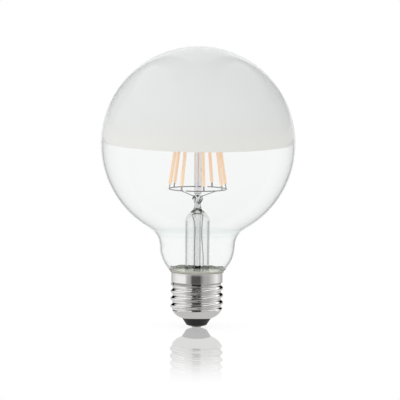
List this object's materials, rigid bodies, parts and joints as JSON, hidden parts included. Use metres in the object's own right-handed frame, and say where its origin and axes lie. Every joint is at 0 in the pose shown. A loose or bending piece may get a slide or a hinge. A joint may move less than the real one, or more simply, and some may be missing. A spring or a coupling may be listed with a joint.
{
  "type": "globe bulb",
  "caption": "Globe bulb with a screw cap: clear glass with a satin white upper half, and LED filaments in a cage on a glass stem.",
  "frame": {"origin": "middle of the flat tip of the centre contact, on the bulb's axis", "axes": "+Z along the axis from the cap to the globe, -Y towards the front of the picture, +X to its right"},
  "size_m": [0.096, 0.096, 0.139],
  "materials": {
    "clear_glass": "clear blown glass",
    "stem_glass": "clear drawn glass",
    "satin_white": "satin white coat",
    "phosphor": "soft peach silicone with phosphor",
    "bright_wire": "plain drawn wire",
    "nickel": "bright nickel plate on rolled brass sheet",
    "cement": "rough greenish grey cement",
    "black_insulator": "black fused glass",
    "contact_metal": "tinned brass",
    "board_green": "solder resist",
    "part_black": "moulded epoxy",
    "resistor_body": "lacquered body"
  },
  "bodies": {
    "root": {"anchor_wire_1": "bright_wire", "anchor_wire_2": "bright_wire", "anchor_wire_3": "bright_wire", "anchor_wire_4": "bright_wire", "cap_cement": "cement", "centre_contact": "contact_metal", "centre_rod": "stem_glass", "contact_wire": "bright_wire", "driver_board": "board_green", "driver_chip": "part_black", "exhaust_tube": "stem_glass", "filament_1": "phosphor", "filament_2": "phosphor", "filament_3": "phosphor", "filament_4": "phosphor", "filament_5": "phosphor", "filament_6": "phosphor", "filament_7": "phosphor", "filament_8": "phosphor", "fuse_resistor": "resistor_body", "glass_globe": "clear_glass", "insulator": "black_insulator", "lead_wire_left": "bright_wire", "lead_wire_right": "bright_wire", "rectifier": "part_black", "resistor_wire": "bright_wire", "ring_lower_left": "bright_wire", "ring_lower_right": "bright_wire", "ring_upper": "bright_wire", "satin_dome": "satin_white", "screw_shell": "nickel", "shell_wire": "bright_wire", "stem_flare": "stem_glass", "tab_lower_1": "bright_wire", "tab_lower_2": "bright_wire", "tab_lower_3": "bright_wire", "tab_lower_4": "bright_wire", "tab_lower_5": "bright_wire", "tab_lower_6": "bright_wire", "tab_lower_7": "bright_wire", "tab_lower_8": "bright_wire", "tab_upper_1": "bright_wire", "tab_upper_2": "bright_wire", "tab_upper_3": "bright_wire", "tab_upper_4": "bright_wire", "tab_upper_5": "bright_wire", "tab_upper_6": "bright_wire", "tab_upper_7": "bright_wire", "tab_upper_8": "bright_wire"}
  },
  "joints": []
}
